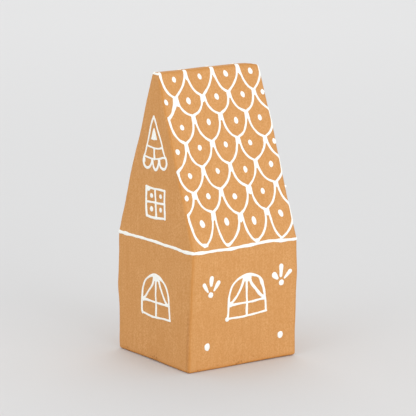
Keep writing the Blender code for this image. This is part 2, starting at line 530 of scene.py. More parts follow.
    def draw(self, drawings: list[Drawing], seed: int) -> bmesh.types.BMesh:
        """Lays every stroke and dab of some drawings.

        Args:
            drawings: The drawings.
            seed: Starts the hand's unsteadiness.

        Returns:
            One bmesh with all of them, not yet joined.
        """
        parts = []
        for drawing in drawings:
            for stroke in drawing.strokes:
                parts.append(self.bead(self.frames(*self.trace(drawing, stroke, seed + 0.37 * len(parts)))))
            for dot in drawing.dots:
                parts.append(self.dab(drawing, dot, seed + 0.37 * len(parts)))
        return joined(parts)

    def fuse(self, name: str, bm: bmesh.types.BMesh, grain: float) -> bpy.types.Object:
        """Runs touching lines into each other, as wet icing does.

        Args:
            name: The piece's name.
            bm: The lines.
            grain: The size of the finest detail that is kept.

        Returns:
            The finished piece.
        """
        raw = new_piece(name + "_raw", bm)
        remesh = raw.modifiers.new("run_together", "REMESH")
        remesh.mode = "VOXEL"
        remesh.voxel_size = grain
        soften = raw.modifiers.new("soften", "SMOOTH")
        soften.factor = 0.5
        soften.iterations = self.soften
        layer = bpy.context.evaluated_depsgraph_get()
        mesh = bpy.data.meshes.new_from_object(raw.evaluated_get(layer))
        done = bmesh.new()
        done.from_mesh(mesh)
        bpy.data.objects.remove(raw)
        return new_piece(name, done)


def joined(parts: list[bmesh.types.BMesh]) -> bmesh.types.BMesh:
    """Puts several bmeshes into one, and frees them."""
    whole = bmesh.new()
    for part in parts:
        mesh = bpy.data.meshes.new("part")
        part.to_mesh(mesh)
        part.free()
        whole.from_mesh(mesh)
        bpy.data.meshes.remove(mesh)
    return whole


def new_piece(name: str, bm: bmesh.types.BMesh) -> bpy.types.Object:
    """Makes a smooth-shaded object of a bmesh, at the origin.

    Args:
        name: The object's name.
        bm: The mesh, which is freed.

    Returns:
        The object.
    """
    mesh = bpy.data.meshes.new(name)
    bm.to_mesh(mesh)
    bm.free()
    mesh.shade_smooth()
    piece = bpy.data.objects.new(name, mesh)
    bpy.context.scene.collection.objects.link(piece)
    return piece


def settle(piece: bpy.types.Object, finish: bpy.types.Material, slot: Slot, *nodes: str) -> None:
    """Dresses a piece, ties it to the house and reports it.

    Args:
        piece: The piece.
        finish: Its material.
        slot: The slot of its finish; not used.
        nodes: The CAD nodes that it stands for.
    """
    piece.data.materials.clear()
    piece.data.materials.append(finish)
    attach(piece, "root")
    if nodes:
        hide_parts(*nodes)
    triangles = sum(len(face.vertices) - 2 for face in piece.data.polygons)
    log.info("%s: %d triangles", piece.name, triangles)


# ---------------------------------------------------------------- finishes


class NodeBench:
    """Places and joins the nodes of one material or node group."""

    def __init__(self, tree: bpy.types.NodeTree) -> None:
        """Starts on a node tree."""
        self.tree = tree

    def add(self, kind: str, settings: dict | None = None, **inputs: object) -> bpy.types.Node:
        """Adds a node.

        Args:
            kind: The node's type.
            settings: Values of its own properties.
            inputs: Values, or sockets to join, for its inputs. An underscore in a name stands for a space.

        Returns:
            The node.
        """
        node = self.tree.nodes.new(kind)
        for name, value in (settings or {}).items():
            setattr(node, name, value)
        for name, value in inputs.items():
            key = int(name[1:]) if name[0] == "_" else name.replace("_", " ")
            self.put(value, node.inputs[key])
        return node

    def put(self, value: object, socket: bpy.types.NodeSocket) -> None:
        """Sets a socket to a value, or joins another socket to it."""
        if isinstance(value, bpy.types.NodeSocket):
            self.tree.links.new(value, socket)
        else:
            socket.default_value = value

    def math(self, operation: str, first: object, second: object = 0.0) -> bpy.types.NodeSocket:
        """The result of a Math node."""
        return self.add("ShaderNodeMath", {"operation": operation}, _0=first, _1=second).outputs[0]

    def ramp(self, value: object, low: float, high: float, to_low: float, to_high: float) -> object:
        """Maps a value from one range to another, and keeps it inside."""
        node = self.add("ShaderNodeMapRange", None, Value=value, From_Min=low, From_Max=high)
        node.inputs["To Min"].default_value = to_low
        node.inputs["To Max"].default_value = to_high
        return node.outputs["Result"]

    def blend(self, share: object, first: object, second: object, mode: str = "MIX") -> object:
        """Mixes two colours."""
        node = self.add("ShaderNodeMix", {"data_type": "RGBA", "blend_type": mode})
        self.put(share, node.inputs["Factor"])
        self.put(first, node.inputs[6])
        self.put(second, node.inputs[7])
        return node.outputs[2]


@dataclass
class WorkedSurface:
    """A node group that gives the marks left in a hand-worked surface: patches, grain, brushed streaks and pits."""

    name: str = "worked_surface"

    def build(self) -> bpy.types.NodeTree:
        """Builds the group.

        Returns:
            The group, with the outputs Patches, Grain, Streaks and Pits, each from 0 to 1.
        """
        group = bpy.data.node_groups.new(self.name, "ShaderNodeTree")
        sockets = group.interface
        sockets.new_socket("Vector", in_out="INPUT", socket_type="NodeSocketVector")
        for name in ("Patch Size", "Grain Size", "Streak Size", "Pit Size", "Pit Density"):
            sockets.new_socket(name, in_out="INPUT", socket_type="NodeSocketFloat")
        for name in ("Patches", "Grain", "Streaks", "Pits"):
            sockets.new_socket(name, in_out="OUTPUT", socket_type="NodeSocketFloat")
        bench = NodeBench(group)
        given = bench.add("NodeGroupInput").outputs
        result = bench.add("NodeGroupOutput").inputs
        bench.put(self.cloud(bench, given["Vector"], given["Patch Size"], 4.0, 0.55), result["Patches"])
        bench.put(self.cloud(bench, given["Vector"], given["Grain Size"], 3.0, 0.6), result["Grain"])
        stretched = bench.add("ShaderNodeVectorMath", {"operation": "MULTIPLY"}, _0=given["Vector"])
        stretched.inputs[1].default_value = (1.0, 1.0, 0.07)
        bench.put(self.cloud(bench, stretched.outputs[0], given["Streak Size"], 3.0, 0.5), result["Streaks"])
        scale = bench.math("DIVIDE", 1.0, given["Pit Size"])
        cells = bench.add("ShaderNodeTexVoronoi", None, Vector=given["Vector"], Scale=scale)
        sparse = self.cloud(bench, given["Vector"], given["Patch Size"], 2.0, 0.5)
        sparse = bench.math("ADD", sparse, given["Pit Density"])
        reach = bench.ramp(sparse, 0.5, 0.72, 0.0, 0.42)
        near = bench.math("SUBTRACT", reach, cells.outputs["Distance"])
        bench.put(bench.ramp(near, 0.0, 0.25, 0.0, 1.0), result["Pits"])
        return group

    @staticmethod
    def cloud(bench: NodeBench, vector: object, size: object, detail: float, rough: float) -> object:
        """The value of a noise texture whose features are of the given size."""
        scale = bench.math("DIVIDE", 1.0, size)
        node = bench.add("ShaderNodeTexNoise", None, Vector=vector, Scale=scale)
        node.inputs["Detail"].default_value = detail
        node.inputs["Roughness"].default_value = rough
        return node.outputs["Fac"]


@dataclass(frozen=True)
class GingerbreadFinish:
    """Matt baked gingerbread: a warm tan with faint patches and streaks, deeper along its edges, with painted shade
    up beside each gable's right upright edge and a foot rim lightened as painted bounce light.
    """

    pale: tuple[float, float, float, float] = (0.678, 0.358, 0.143, 1.0)
    deep: tuple[float, float, float, float] = (0.563, 0.265, 0.083, 1.0)
    edge: tuple[float, float, float, float] = (0.535, 0.230, 0.055, 1.0)
    # The foot rim: the block's own deeper orange, lightened as painted bounce light against the shade where it
    # meets the floor.
    rim: tuple[float, float, float, float] = (0.63, 0.275, 0.07, 1.0)
    # The pits' own dark brown, also used for the painted shade run beside each gable's upright edge.
    pit_and_painted_shade: tuple[float, float, float, float] = (0.40, 0.16, 0.045, 1.0)
    specular: float = 0.16

    def build(self, surface: bpy.types.NodeTree) -> bpy.types.Material:
        """Builds the material.

        Args:
            surface: The worked_surface group.

        Returns:
            The material.
        """
        material = bpy.data.materials.new("gingerbread")
        material.use_nodes = True
        bench = NodeBench(material.node_tree)
        shader = material.node_tree.nodes["Principled BSDF"]
        place = bench.add("ShaderNodeTexCoord").outputs["Object"]
        marks = bench.add("ShaderNodeGroup", {"node_tree": surface}, Vector=place)
        sizes = {"Patch Size": 13 * MM, "Grain Size": 1.1 * MM, "Streak Size": 1.7 * MM, "Pit Size": 2.6 * MM}
        for name, size in sizes.items():
            marks.inputs[name].default_value = size
        edges = bench.add("ShaderNodeAttribute", {"attribute_name": "edge"}).outputs["Fac"]
        feet = bench.add("ShaderNodeAttribute", {"attribute_name": "foot"}).outputs["Fac"]
        painted_shade_runs = bench.add("ShaderNodeAttribute", {"attribute_name": "painted_shade_run"}).outputs["Fac"]
        bench.put(bench.ramp(feet, 0.0, 1.0, -0.04, 0.13), marks.inputs["Pit Density"])
        marks = marks.outputs
        patches = bench.ramp(marks["Patches"], 0.36, 0.66, 0.0, 0.4)
        colour = bench.blend(patches, self.pale, self.deep)
        streaks = bench.ramp(marks["Streaks"], 0.40, 0.66, 0.0, 0.45)
        colour = bench.blend(streaks, colour, self.deep)
        grain = bench.ramp(marks["Grain"], 0.38, 0.64, 0.0, 0.9)
        colour = bench.blend(grain, colour, self.deep)
        worn = bench.math("MULTIPLY", edges, bench.ramp(marks["Patches"], 0.3, 0.65, 0.45, 0.95))
        colour = bench.blend(worn, colour, self.edge)
        # Painted bounce light: a lighter orange rim at the foot, where the block meets the floor.
        colour = bench.blend(bench.ramp(feet, 0.6, 0.88, 0.0, 0.6), colour, self.rim)
        # Painted shade: a darker run beside the right upright edge of each gabled side, deepest in its lower part.
        painted_shade_mix = bench.math("MULTIPLY", painted_shade_runs, bench.ramp(marks["Grain"], 0.3, 0.6, 0.25, 0.75))
        colour = bench.blend(painted_shade_mix, colour, self.pit_and_painted_shade)
        pitted = bench.math("MULTIPLY", marks["Pits"], bench.ramp(feet, 0.0, 0.7, 0.12, 0.8))
        colour = bench.blend(pitted, colour, self.pit_and_painted_shade)
        bench.put(colour, shader.inputs["Base Color"])
        bench.put(bench.ramp(marks["Grain"], 0.3, 0.7, 0.72, 0.92), shader.inputs["Roughness"])
        shader.inputs["Specular IOR Level"].default_value = self.specular
        relief = bench.math("MULTIPLY", marks["Grain"], 0.35)
        relief = bench.math("ADD", relief, bench.math("MULTIPLY", marks["Streaks"], 0.25))
        relief = bench.math("SUBTRACT", relief, bench.math("MULTIPLY", pitted, 1.4))
        bump = bench.add("ShaderNodeBump", None, Strength=0.45, Distance=0.25 * MM, Height=relief)
        bench.put(bump.outputs["Normal"], shader.inputs["Normal"])
        return material


@dataclass(frozen=True)
class IcingFinish:
    """Dried white icing: a soft satin white with a little grain."""

    white: tuple[float, float, float, float] = (0.92, 0.935, 0.89, 1.0)
    cream: tuple[float, float, float, float] = (0.90, 0.905, 0.84, 1.0)
    specular: float = 0.35

    def build(self, surface: bpy.types.NodeTree) -> bpy.types.Material:
        """Builds the material.

        Args:
            surface: The worked_surface group.

        Returns:
            The material.
        """
        material = bpy.data.materials.new("white_icing")
        material.use_nodes = True
        bench = NodeBench(material.node_tree)
        shader = material.node_tree.nodes["Principled BSDF"]
        place = bench.add("ShaderNodeTexCoord").outputs["Object"]
        marks = bench.add("ShaderNodeGroup", {"node_tree": surface}, Vector=place)
        sizes = {"Patch Size": 5 * MM, "Grain Size": 0.5 * MM, "Streak Size": 1.2 * MM, "Pit Size": 1.4 * MM}
        for name, size in sizes.items():
            marks.inputs[name].default_value = size
        marks = marks.outputs
        colour = bench.blend(bench.ramp(marks["Patches"], 0.42, 0.7, 0.0, 0.55), self.white, self.cream)
        bench.put(colour, shader.inputs["Base Color"])
        bench.put(bench.ramp(marks["Grain"], 0.3, 0.7, 0.42, 0.62), shader.inputs["Roughness"])
        shader.inputs["Specular IOR Level"].default_value = self.specular
        bump = bench.add("ShaderNodeBump", None, Strength=0.25, Distance=0.12 * MM, Height=marks["Grain"])
        bench.put(bump.outputs["Normal"], shader.inputs["Normal"])
        return material


# ---------------------------------------------------------------- the block


@dataclass
class HouseBlock:
    """The gingerbread block.

    Attributes:
        shape: Its true shape.
        cuts: Cuts across its width, along its length, up its walls and up its roof.
        rough: Length and depth of the fine unevenness of its skin.
        edge_reach: How far from an edge its colour is deeper.
        foot_reach: How far up from the ground the pits reach; the lowest part of that also takes the foot rim's
            painted bounce light.
        painted_shade_run: How far from an upright edge, how wide and how tall the painted shade run on each gabled
            side is.
    """

    shape: BlockShape
    cuts: tuple[int, int, int, int] = (58, 76, 72, 106)
    rough: tuple[float, float] = (3.2 * MM, 0.07 * MM)
    edge_reach: float = 2.8 * MM
    foot_reach: float = 7.0 * MM
    painted_shade_run: tuple[float, float, float] = (2.3 * MM, 1.9 * MM, 46 * MM)

    def grid(self) -> bmesh.types.BMesh:
        """The sharp block with each face cut into a fine grid."""
        bm = self.shape.prism()
        everything = bm.verts[:] + bm.edges[:] + bm.faces[:]
        eaves = (0.0, 0.0, self.shape.wall_height)
        bmesh.ops.bisect_plane(bm, geom=everything, dist=1e-7, plane_co=eaves, plane_no=UP)
        wide, long, wall, roof = self.cuts
        self.cut_along(bm, lambda way, middle: abs(way.x) > 0.99, wide)
        self.cut_along(bm, lambda way, middle: abs(way.y) > 0.99, long)
        self.cut_along(bm, lambda way, middle: way.z and middle.z > self.shape.wall_height, roof)
        self.cut_along(bm, lambda way, middle: way.z and middle.z < self.shape.wall_height, wall)
        return bm

    @staticmethod
    def cut_along(bm: bmesh.types.BMesh, chosen: object, cuts: int) -> None:
        """Cuts every edge whose way and middle are chosen into equal lengths."""
        edges = []
        for edge in bm.edges:
            first, second = (vert.co for vert in edge.verts)
            way = (second - first).normalized()
            way.z = 0.0 if abs(way.z) < 1e-4 else way.z
            if chosen(way, (first + second) / 2):
                edges.append(edge)
        bmesh.ops.subdivide_edges(bm, edges=edges, cuts=cuts, use_grid_fill=True)

    def build(self) -> bpy.types.Object:
        """Builds the block, with its edge, foot and painted_shade_run attributes, the last being where shade is
        painted.

        Returns:
            The finished object.
        """
        bm = self.grid()
        edge = bm.verts.layers.float.new("edge")
        foot = bm.verts.layers.float.new("foot")
        painted_shade_run = bm.verts.layers.float.new("painted_shade_run")
        length, depth = self.rough
        for vert in bm.verts:
            seat = self.shape.seat(vert.co)
            vert[edge] = self.edge_share(vert.co)
            vert[foot] = max(0.0, 1.0 - seat.place.z / self.foot_reach)
            # How much painted shade this vertex takes.
            vert[painted_shade_run] = self.painted_shade_run_share(seat)
            skin = noise.noise(seat.place / length) * depth
            level = min(1.0, seat.place.z / self.shape.edge_radius)
            vert.co = self.shape.hand_cut(seat.place + seat.normal * skin * level)
        bmesh.ops.recalc_face_normals(bm, faces=bm.faces)
        return new_piece("gingerbread_block", bm)

    def edge_share(self, point: Vector) -> float:
        """How close a point of the sharp block is to one of its edges, from 0 to 1."""
        shape = self.shape
        side = shape.width / 2
        if point.z > shape.wall_height:
            share = (point.z - shape.wall_height) / (shape.height - shape.wall_height)
            side += (shape.ridge_flat / 2 - side) * share
        gaps = sorted(
            (side - abs(point.x), shape.length / 2 - abs(point.y), point.z, shape.height - point.z)
        )
        return max(0.0, 1.0 - max(0.0, gaps[1]) / self.edge_reach) ** 2

    def painted_shade_run_share(self, seat: Seat) -> float:
        """How much a spot is in the painted shade run up the right of a gabled side, strongest in its lower part,
        from 0 to 1.
        """
        reach, breadth, tall = self.painted_shade_run
        way = math.copysign(1.0, seat.normal.y)
        gap = self.shape.width / 2 + seat.place.x * way
        across = max(0.0, 1.0 - abs(gap - reach) / breadth) * min(1.0, 1.6 * abs(seat.normal.y))
        return across * max(0.0, min(1.0, 3.0 * (1.0 - seat.place.z / tall)))


# ---------------------------------------------------------------- the drawings


@dataclass(frozen=True)
class RoofScales:
    """Rows of pointed scales down a roof slope, with a dab in each, in millimetres from the near eave.

    Attributes:
        joints: Where the scales of one row meet, from the ridge down to the last tips.
        dabs: The dab in each scale, row by row: where it is, and its size against the usual.
        knots: The icing under each joint: its width, how far down it splits, and how far that is to the right.
        drops: For each row, the share of their fall after which a joint's left and right lines turn in.
        blots: Thicker runs under the first joint, and on three of the last tips.
        freehand: The row, joint and tip of the line that the first of those runs stands for.
        early: How much sooner a line that ends at the far edge turns in.
        splay: How far a line moves out before it turns in.
        shoulder: How far beside the next joint a line ends.
        width: Width of the lines.
    """

    joints: tuple[tuple[Spot, ...], ...] = (
        ((0.9, 120.8), (21.8, 121.6), (44.4, 121.5), (65.9, 121.5), (84.6, 118.6)),
        ((10, 102.2), (32.4, 101.8), (53.8, 102.2), (74.8, 101.9)),
        ((1.4, 89.6), (21.0, 89.2), (43.3, 88.6), (64.8, 87.9), (85.8, 87)),
        ((11.0, 71.8), (32.2, 71.2), (53.7, 71.3), (75.6, 69.9)),
        ((0.4, 54.4), (20.6, 55.3), (42.9, 55.1), (64.2, 54.9), (86.2, 54)),
        ((9.7, 38.9), (31.4, 39.5), (53.9, 38.8), (76.8, 38.7)),
        ((1.5, 25.4), (21.6, 25.1), (42.7, 21.2), (64.8, 21.8), (86, 21.8)),
        ((10.2, 3.8), (28.2, 2), (51.7, 1.6), (72.3, 1.7)),
    )
    dabs: tuple[tuple[Spread, ...], ...] = (
        ((11.6, 114.4, 1.0), (33.0, 114.6, 0.98), (54.8, 114.7, 1.12), (75.5, 114.8, 1.17)),
        ((1.9, 99.9, 1.0), (20.1, 99.4, 1.16), (43.3, 100.2, 1.13), (65.0, 99.6, 1.08), (82.0, 99.8, 0.97)),
        ((10.5, 82.3, 0.97), (32.5, 84.0, 1.08), (55.2, 83.0, 1.12), (74.9, 83.0, 1.04)),
        ((3.4, 67.3, 1.02), (21.3, 68.2, 0.98), (43.0, 68.1, 1.02), (63.1, 67.1, 1.0), (82.6, 66.3, 0.97)),
        ((9.3, 50.8, 1.02), (31.9, 51.7, 1.0), (54.3, 50.0, 1.05), (76.3, 51.2, 1.1)),
        ((2.9, 36.3, 1.02), (20.6, 35.9, 1.1), (41.3, 33.6, 1.1), (64.9, 34.5, 1.04), (85.0, 35.3, 0.8)),
        ((11.2, 18.6, 1.01), (31.0, 17.5, 0.99), (52.6, 15.6, 1.04), (75.7, 18.1, 0.97)),
    )
    knots: tuple[tuple[Spread, ...], ...] = (
        ((1.9, 2.0, 0.0), (2.5, 8.3, 0.0), (2.8, 8.3, 0.3), (2.8, 8.3, 0.1), (1.9, 1.0, 0.0)),
        ((4.6, 5.5, 0.1), (4.3, 4.2, -0.4), (3.5, 4.0, 0.2), (3.6, 3.8, 0.2)),
        ((1.9, 1.0, 0.0), (3.3, 5.2, 0.1), (4.0, 4.5, 0.0), (3.3, 4.7, 0.5), (1.9, 1.0, 0.0)),
        ((2.8, 5.0, -0.1), (4.2, 4.0, 0.1), (4.0, 4.2, 0.1), (3.1, 4.5, 0.3)),
        ((1.9, 1.0, 0.0), (3.2, 5.5, -0.2), (3.3, 5.3, -0.2), (3.4, 5.0, 0.0), (1.9, 1.0, 0.0)),
        ((4.3, 4.4, 0.2), (3.7, 5.0, 0.0), (4.6, 5.6, 0.1), (4.2, 3.2, 0.3)),
        ((1.9, 1.0, 0.0), (3.7, 5.4, -0.1), (4.5, 5.6, -0.3), (4.8, 4.0, 0.1), (1.9, 1.0, 0.0)),
    )
    drops: tuple[Spot, ...] = (
        (0.58, 0.8), (0.76, 0.79), (0.79, 0.79), (0.68, 0.78), (0.68, 0.8), (0.7, 0.8), (0.68, 0.8),
    )
    blots: tuple[Stroke, ...] = (
        Stroke(((9, 101.4), (8.3, 97.4), (6.4, 94.2), (4.9, 92.1), (1.9, 89.2)), (2.4, 3.1, 2.5, 2, 1.9)),
        Stroke(((10.4, 100.4), (11.2, 97.4)), (2.2, 2.4)),
        Stroke(((9, 5), (11.2, 4.7)), (2.4, 2.6)),
        Stroke(((27.5, 2.9), (29, 2.9)), (2, 2)),
        Stroke(((50.8, 2.5), (52.8, 2.5)), (2.3, 2.3)),
    )
    freehand: tuple[int, int, int] = (1, 0, 0)
    early: float = 0.76
    splay: float = 0.3
    shoulder: float = 0.6
    width: float = 1.72

    def side_of_scale(self, start: Spot, tip: Spot, part: float, drop: float) -> Stroke:
        """One side of a scale: nearly straight down at first, then in towards the tip.

        Args:
            start: The joint that it hangs from.
            tip: The joint that it ends at.
            part: How far beside its joint it starts.
            drop: The share of its fall after which it turns in.

        Returns:
            The line.
        """
        way = math.copysign(1.0, tip[0] - start[0])
        top = Vector((start[0] + way * part, start[1]))
        end = Vector((tip[0] - way * self.shoulder, tip[1] + self.shoulder / 2))
        pull = Vector((top.x + way * self.splay, top.y + (end.y - top.y) * drop))
        spots = [top * (1 - t) ** 2 + pull * 2 * t * (1 - t) + end * t * t for t in (0, 0.25, 0.5, 0.75, 1)]
        widths = (self.width * 1.1, self.width, self.width, self.width * 0.97, self.width * 1.12)
        return Stroke(tuple((spot.x, spot.y) for spot in spots), widths)

    def lines(self) -> Drawing:
        """The sides of every scale, and the thicker icing where they meet."""
        strokes = list(self.blots)
        for row, (starts, tips) in enumerate(zip(self.joints, self.joints[1:])):
            odd = row % 2
            for place, (start, knot) in enumerate(zip(starts, self.knots[row])):
                part = (knot[0] - self.width) / 2 - 0.1
                for tip, drop in zip((place - 1 + odd, place + odd), self.drops[row]):
                    if 0 <= tip < len(tips) and (row, place, tip) != self.freehand:
                        turn = drop * (self.early if odd and tip == len(tips) - 1 else 1.0)
                        strokes.append(self.side_of_scale(start, tips[tip], part, turn))
                strokes.append(self.knot(start, knot))
        return Drawing(Side.EAST, Zone.UPPER, tuple(strokes))

    @staticmethod
    def knot(joint: Spot, size: Spread) -> Stroke:
        """The icing between two lines where they leave a joint.

        Args:
            joint: The joint.
            size: The whole width there, how far down the lines split, and how far that is to the right.

        Returns:
            The run of icing.
        """
        across, up = joint
        width, length, lean = size
        spots = (joint, (across + lean * 0.4, up - length * 0.5), (across + lean, up - length + 0.5))
        return Stroke(spots, (width * 0.42, width * 0.42, width * 0.4, width * 0.36, 1.0))

    def dots(self) -> Drawing:
        """The dab in every scale, larger in the last row."""
        hand = random.Random(5)
        dots = []
        for row, spots in enumerate(self.dabs):
            wide, tall = (3.7, 5.3) if row == len(self.dabs) - 1 else (3.1, 4.0)
            for across, up, size in spots:
                thin = hand.uniform(0.96, 1.05)
                dots.append(Dot(across, up, wide * size / thin, tall * size * thin, hand.uniform(4, 24)))
        return Drawing(Side.EAST, Zone.UPPER, (), tuple(dots))


@dataclass(frozen=True)
class ArchedWindow:
    """An arched window with a transom, an upright and tied-back curtains, drawn on a wall."""

    side: Side
    arch: tuple[Spot, ...]
    arch_widths: tuple[float, ...]
    sill: tuple[Spot, ...]
    transom: tuple[Spot, ...]
    upright: tuple[Spot, ...]
    curtains: tuple[tuple[Spot, ...], tuple[Spot, ...]]
    curtain_widths: tuple[float, float]
    knots: tuple[Dot, ...]

    def lines(self) -> Drawing:
        """All of the window's lines."""
        left, right = self.curtains
        lines = (
            (self.arch, self.arch_widths),
            (self.sill, (1.5,)),
            (self.transom, (2.0, 1.5, 1.5, 1.6)),
            (self.upright, (1.8, 1.7, 1.8)),
            (left, (2.4, *self.curtain_widths[:1] * 2, 1.8)),
            (right, (2.1, *self.curtain_widths[1:] * 2, 1.7)),
        )
        return Drawing(self.side, Zone.WALL, tuple(Stroke(*line) for line in lines), self.knots)


FRONT_WINDOW = ArchedWindow(
    side=Side.FRONT,
    arch=(
        (29.1, 30.7), (28.4, 32.2), (28.3, 34.2), (28.5, 38.7), (28.9, 43.2), (29.95, 48.2), (32.55, 53.2),
        (36.4, 56.1), (40.1, 57.9), (43.6, 58.6), (47.1, 58.1), (50.7, 56.7), (55, 54), (58, 50.2), (59.9, 45.2),
        (60.8, 40.2), (61.6, 35.2), (62.2, 31.4),
    ),
    arch_widths=(2.1, 2.3, 2.2, 1.8, 1.65, 1.6, 1.8, 2.3, 2.3, 2.0, 1.8, 1.7, 1.7, 1.6, 1.6, 1.6),
    sill=((28.9, 30.8), (34.85, 30.2), (41.85, 30), (47.85, 30.5), (54.85, 31.1), (62.3, 31.3)),
    transom=((30, 39.4), (33.85, 40.1), (41.85, 40.4), (51.85, 40.7), (60.85, 40.9)),
    upright=((44.3, 56.2), (44.5, 50.2), (44.8, 45.2), (45.5, 40), (45.85, 35.2), (45.75, 30.7)),
    curtains=(
        ((42.2, 56.4), (40.6, 51.7), (36.3, 46.7), (33.2, 42.8), (30.4, 40.5)),
        ((47, 56.4), (49.6, 51.4), (53.5, 46.2), (56.9, 42.6), (60.2, 41)),
    ),
    curtain_widths=(1.6, 1.5),
    knots=(Dot(44.6, 56.5, 6.4, 3.8), Dot(30, 39.6, 3, 2.6)),
)

EAST_WINDOW = ArchedWindow(
    side=Side.EAST,
    arch=(
        (28.6, 33), (29, 37.8), (29.2, 43.8), (30, 49.8), (32.2, 55.3), (35.4, 58.3), (39.5, 60.1),
        (44.3, 61.1), (48.9, 60.3), (53.1, 58.5), (55.3, 55.6), (57.1, 50.8), (58.5, 44.8), (59.2, 39.8),
        (59.5, 34.4),
    ),
    arch_widths=(1.9, 1.6, 1.8, 1.7, 1.6, 1.7, 1.8, 1.9, 1.8, 1.9, 2.9, 2.0, 1.6, 1.5, 1.5),
    sill=((28.4, 33), (33.3, 33), (40.3, 33), (46.8, 33.4), (52.7, 33.8), (59.8, 34.3)),
    transom=((29.9, 42), (34.3, 42.1), (40.3, 42.4), (47.3, 42.4), (53.3, 42.8), (58.7, 42.8)),
    upright=((43.3, 59.2), (43.4, 49.8), (43.7, 42.8), (43.7, 37.8), (43.9, 33.2)),
    curtains=(
        ((41.2, 58.8), (39.3, 53.8), (36.6, 48.8), (33.8, 45.4), (31, 43.2)),
        ((45.8, 59), (47.2, 54.8), (51.2, 50.2), (54.4, 46.4), (58, 43.8)),
    ),
    curtain_widths=(1.7, 2.1),
    knots=(Dot(43.8, 58.6, 6.6, 4.6), Dot(30.9, 42.4, 2.8, 3.4), Dot(28.3, 32.8, 3.2, 3.2)),
)


@dataclass(frozen=True)
class SquareWindow:
    """A small window of four panes in the gable, with a dab in each pane."""

    frame: tuple[tuple[Spot, ...], ...] = (
        ((33.85, 17.2), (33.45, 23.4), (33.54, 30.4), (33.54, 36.52)),
        ((33.54, 36.42), (39.72, 35.96), (46.58, 36.28), (53.53, 36.51)),
        ((53.63, 36.5), (53.44, 30.4), (53.53, 24.4), (53.83, 17.8)),
        ((33.85, 17.2), (39.72, 16.6), (46.58, 17.2), (53.83, 18)),
    )
    bars: tuple[tuple[Spot, ...], ...] = (
        ((43.15, 36.07), (43.44, 30.4), (43.64, 25.4), (44.32, 17)),
        ((33.64, 26.4), (39.72, 26.9), (46.58, 27.1), (53.63, 27.6)),
    )
    panes: tuple[Dot, ...] = (
        Dot(39.18, 31.1, 3.4, 3.2, 20),
        Dot(49.08, 32, 2.9, 3),
        Dot(39.08, 22.3, 3.6, 3.7),
        Dot(49.08, 23.1, 3, 3.4, 10),
    )

    def lines(self) -> Drawing:
        """The frame, the two bars and the thick corner."""
        widths = ((2.2, 1.9), (1.9, 1.5, 1.6), (1.9, 1.6, 1.9), (2, 1.6, 1.7))
        strokes = [Stroke(spots, width) for spots, width in zip(self.frame, widths)]
        strokes += [Stroke(self.bars[0], (1.7, 1.6, 2)), Stroke(self.bars[1], (1.7, 1.45, 1.6))]
        return Drawing(Side.FRONT, Zone.UPPER, tuple(strokes), (Dot(35.4, 34.9, 4.4, 2.7),))

    def dots(self) -> Drawing:
        """The dabs in the panes."""
        return Drawing(Side.FRONT, Zone.UPPER, (), self.panes)


@dataclass(frozen=True)
class Spire:
    """A slim spire drawn over the small window, with two cross bands and three scallops under it."""

    sides: tuple[tuple[Spot, ...], ...] = (
        ((41.75, 84.2), (39.7, 80.2), (37.8, 75.5), (36.2, 70.4), (34.3, 65.4), (32.9, 61.2), (31.6, 57.8)),
        ((41.75, 84.2), (43.7, 81.1), (45.8, 76.5), (48.8, 71), (51, 66), (53.2, 61.2), (55.4, 58)),
    )
    bands: tuple[tuple[Spot, ...], ...] = (
        ((34.2, 64.1), (38.9, 63.6), (42.9, 63.4), (46.9, 63.7), (51, 64.8)),
        ((31.7, 56.6), (35.1, 56.1), (39.1, 56), (43.1, 56.2), (48, 57.2), (51.8, 58.3), (55.3, 58.5)),
    )
    scallops: tuple[tuple[Spot, ...], ...] = (
        ((31, 57.1), (30.1, 53.7), (31.3, 50.4), (34.3, 49), (37.2, 50.2), (39.3, 53.1), (39.7, 55.4)),
        ((40.4, 55.4), (41.4, 51), (43.7, 48.9), (45.9, 50.6), (47.3, 54.4), (47.1, 56.7)),
        ((48, 56.3), (49.1, 52.2), (51.7, 50.8), (54.4, 51.5), (56.1, 54.6), (55.9, 57.1), (55.1, 58.7)),
    )
    window: tuple[tuple[Spot, ...], ...] = (
        ((39.4, 69.4), (44.8, 69.7)),
        ((39.6, 69.4), (41.9, 75.9)),
        ((44.7, 69.6), (42.1, 75.9)),
        ((42.05, 69.8), (42.05, 74.6)),
    )

    def lines(self) -> Drawing:
        """All of the spire's joined lines."""
        strokes = [Stroke(spots, (1.5, 1.5, 1.4, 1.5)) for spots in self.sides]
        strokes += [Stroke(spots, (1.3, 1.25, 1.5)) for spots in self.bands]
        strokes += [Stroke(spots, (1.5, 1.9, 1.6)) for spots in self.scallops]
        strokes.append(Stroke(((42.1, 63.3), (42.4, 56.2)), (1.7, 1.6, 1.9)))
        knots = (Dot(40.2, 53.9, 2.5, 3.4), Dot(47.95, 54.9, 2.2, 3.2), Dot(31.1, 54.5, 2.2, 4.4, 12))
        return Drawing(Side.FRONT, Zone.UPPER, tuple(strokes), knots)

    def dots(self) -> Drawing:
        """The filled three-cornered window at its top."""
        strokes = [Stroke(spots, (1.4,)) for spots in self.window[:3]]
        strokes.append(Stroke(self.window[3], (2.6, 1.6)))
        return Drawing(Side.FRONT, Zone.UPPER, tuple(strokes))


@dataclass(frozen=True)
class RidgeDab:
    """The run of icing across the blunt end of the ridge."""

    run: tuple[Spot, ...] = ((39.6, 112.6), (42.2, 112.9), (45.4, 112.7))
    widths: tuple[float, ...] = (1.2, 1.6, 1.4)

    def lines(self) -> Drawing:
        """The one stroke."""
        return Drawing(Side.FRONT, Zone.UPPER, (Stroke(self.run, self.widths),))


